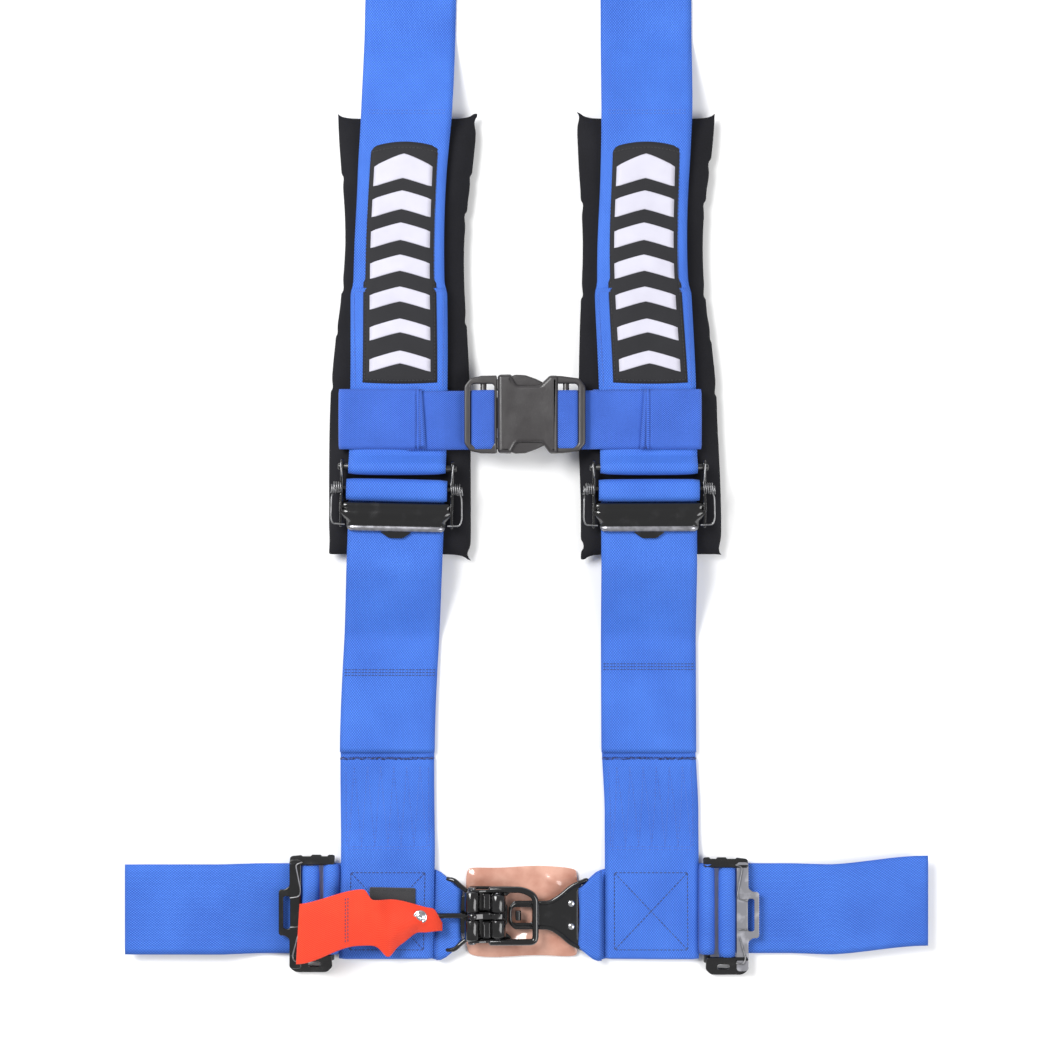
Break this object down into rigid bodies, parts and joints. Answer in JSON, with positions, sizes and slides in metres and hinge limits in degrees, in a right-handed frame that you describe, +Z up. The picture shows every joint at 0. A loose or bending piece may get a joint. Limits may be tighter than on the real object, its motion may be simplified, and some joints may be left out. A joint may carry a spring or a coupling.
{
  "type": "racing harness",
  "caption": "Racing harness laid flat: lap and shoulder belts with tilt-lock adjusters, padded shoulders, sternum buckle and a latch-and-link lever buckle.",
  "frame": {"origin": "on the table, under the middle of the whole harness as it lies fastened", "axes": "+X to the right along the lap belts (wearer's left when worn), +Y up along the shoulder belts to their anchors, +Z up off the table"},
  "size_m": [0.6792, 0.958, 0.0372],
  "materials": {
    "webbing": "woven blue polyester webbing, slight sheen",
    "tab_webbing": "woven red webbing",
    "pad_fabric": "black knitted nylon over foam",
    "pad_foam": "soft foam filling, not visible",
    "patch_fabric": "black woven patch with a pale stitched pattern",
    "black_steel": "gloss black coated pressed steel",
    "bright_steel": "plated pins, rivets and spring wire",
    "buckle_plastic": "moulded black acetal, fine satin",
    "pad_vinyl": "tan padded vinyl with a glossy skin"
  },
  "bodies": {
    "root": {"left_upper_shoulder_strap": "webbing", "left_lower_shoulder_strap": "webbing", "left_shoulder_tail": "webbing", "left_inner_lap_strap": "webbing", "left_outer_lap_strap": "webbing", "left_lap_tail": "webbing", "left_sternum_strap": "webbing", "left_pad_cover": "pad_fabric", "left_pad_filling": "pad_foam", "left_patch": "patch_fabric", "left_webbing_slide": "black_steel", "right_upper_shoulder_strap": "webbing", "right_lower_shoulder_strap": "webbing", "right_shoulder_tail": "webbing", "right_inner_lap_strap": "webbing", "right_outer_lap_strap": "webbing", "right_lap_tail": "webbing", "right_sternum_strap": "webbing", "right_pad_cover": "pad_fabric", "right_pad_filling": "pad_foam", "right_patch": "patch_fabric", "right_webbing_slide": "black_steel", "buckle_socket": "buckle_plastic", "buckle_plug": "buckle_plastic", "latch_base": "black_steel", "latch_pivot_pin": "bright_steel", "latch_pad": "pad_vinyl", "tab_fastener": "pad_fabric"},
    "upper_prong": {"upper_buckle_prong": "buckle_plastic"},
    "lower_prong": {"lower_buckle_prong": "buckle_plastic"},
    "lever": {"latch_lever": "black_steel", "bail_pin": "bright_steel", "pull_tab": "tab_webbing", "tab_rivet": "bright_steel"},
    "bail": {"latch_bail": "black_steel"},
    "link": {"latch_link": "black_steel", "link_rivets": "bright_steel"},
    "left_lap_tilt": {"left_lap_adjuster_frame": "black_steel"},
    "left_lap_slider": {"left_lap_adjuster_slide_bar": "black_steel", "left_lap_adjuster_springs": "bright_steel", "left_lap_adjuster_webbing_wrap": "webbing"},
    "right_lap_tilt": {"right_lap_adjuster_frame": "black_steel"},
    "right_lap_slider": {"right_lap_adjuster_slide_bar": "black_steel", "right_lap_adjuster_springs": "bright_steel", "right_lap_adjuster_webbing_wrap": "webbing"},
    "left_shoulder_tilt": {"left_shoulder_adjuster_frame": "black_steel"},
    "left_shoulder_slider": {"left_shoulder_adjuster_slide_bar": "black_steel", "left_shoulder_adjuster_springs": "bright_steel", "left_shoulder_adjuster_webbing_wrap": "webbing"},
    "right_shoulder_tilt": {"right_shoulder_adjuster_frame": "black_steel"},
    "right_shoulder_slider": {"right_shoulder_adjuster_slide_bar": "black_steel", "right_shoulder_adjuster_springs": "bright_steel", "right_shoulder_adjuster_webbing_wrap": "webbing"},
    "left_lap_anchor": {"left_lap_bracket": "black_steel"},
    "right_lap_anchor": {"right_lap_bracket": "black_steel"},
    "left_shoulder_anchor": {"left_shoulder_bracket": "black_steel"},
    "right_shoulder_anchor": {"right_shoulder_bracket": "black_steel"}
  },
  "joints": [
    {"name": "lever_lift", "type": "hinge", "parent": "root", "child": "lever", "pos_m": [-0.0242, -0.4272, 0.015], "axis": [0, 1, 0], "range_deg": [0, 110]},
    {"name": "bail_swing", "type": "hinge", "parent": "lever", "child": "bail", "pos_m": [-0.0459, -0.4272, 0.016], "axis": [0, 1, 0], "range_deg": [-143, 0]},
    {"name": "link_lift", "type": "hinge", "parent": "root", "child": "link", "pos_m": [0.05, -0.4272, 0.0101], "axis": [0, 1, 0], "range_deg": [0, 12.1]},
    {"name": "left_lap_adjuster_tilt", "type": "hinge", "parent": "root", "child": "left_lap_tilt", "pos_m": [-0.1658, -0.423, 0.0066], "axis": [0, 1, 0], "range_deg": [0, 30]},
    {"name": "left_lap_bar_slide", "type": "slide", "parent": "left_lap_tilt", "child": "left_lap_slider", "axis": [1, 0, 0], "range_m": [0, 0.0025], "stiffness_N_per_m": 600, "springref_m": -0.0015},
    {"name": "right_lap_adjuster_tilt", "type": "hinge", "parent": "root", "child": "right_lap_tilt", "pos_m": [0.153, -0.423, 0.0066], "axis": [0, -1, 0], "range_deg": [0, 30]},
    {"name": "right_lap_bar_slide", "type": "slide", "parent": "right_lap_tilt", "child": "right_lap_slider", "axis": [-1, 0, 0], "range_m": [0, 0.0025], "stiffness_N_per_m": 600, "springref_m": -0.0015},
    {"name": "left_shoulder_adjuster_tilt", "type": "hinge", "parent": "root", "child": "left_shoulder_tilt", "pos_m": [-0.108, -0.047, 0.0286], "axis": [-0.9998, 0.0218, 0], "range_deg": [0, 30]},
    {"name": "left_shoulder_bar_slide", "type": "slide", "parent": "left_shoulder_tilt", "child": "left_shoulder_slider", "axis": [0.0218, 0.9998, 0], "range_m": [0, 0.0025], "stiffness_N_per_m": 600, "springref_m": -0.0015},
    {"name": "right_shoulder_adjuster_tilt", "type": "hinge", "parent": "root", "child": "right_shoulder_tilt", "pos_m": [0.1028, -0.047, 0.0286], "axis": [-1, -0.0035, 0], "range_deg": [0, 30]},
    {"name": "right_shoulder_bar_slide", "type": "slide", "parent": "right_shoulder_tilt", "child": "right_shoulder_slider", "axis": [-0.0035, 1, 0], "range_m": [0, 0.0025], "stiffness_N_per_m": 600, "springref_m": -0.0015},
    {"name": "left_lap_bracket_swing", "type": "hinge", "parent": "root", "child": "left_lap_anchor", "pos_m": [-0.268, -0.42, 0.0049], "axis": [0, -1, 0], "range_deg": [0, 60]},
    {"name": "right_lap_bracket_swing", "type": "hinge", "parent": "root", "child": "right_lap_anchor", "pos_m": [0.268, -0.42, 0.0049], "axis": [0, 1, 0], "range_deg": [0, 60]},
    {"name": "left_shoulder_bracket_swing", "type": "hinge", "parent": "root", "child": "left_shoulder_anchor", "pos_m": [-0.09772, 0.424, 0.0049], "axis": [0.9998, -0.0218, 0], "range_deg": [0, 80]},
    {"name": "right_shoulder_bracket_swing", "type": "hinge", "parent": "root", "child": "right_shoulder_anchor", "pos_m": [0.10116, 0.424, 0.0049], "axis": [1, 0.0035, 0], "range_deg": [0, 80]},
    {"name": "upper_prong_squeeze", "type": "slide", "parent": "root", "child": "upper_prong", "axis": [0, -1, 0], "range_m": [0, 0.003], "stiffness_N_per_m": 900},
    {"name": "lower_prong_squeeze", "type": "slide", "parent": "root", "child": "lower_prong", "axis": [0, 1, 0], "range_m": [0, 0.003], "stiffness_N_per_m": 900}
  ],
  "couplings": [
    {"joint": "bail_swing", "follows": "lever_lift", "ratio": -1.3},
    {"joint": "link_lift", "follows": "lever_lift", "ratio": 0.11}
  ]
}
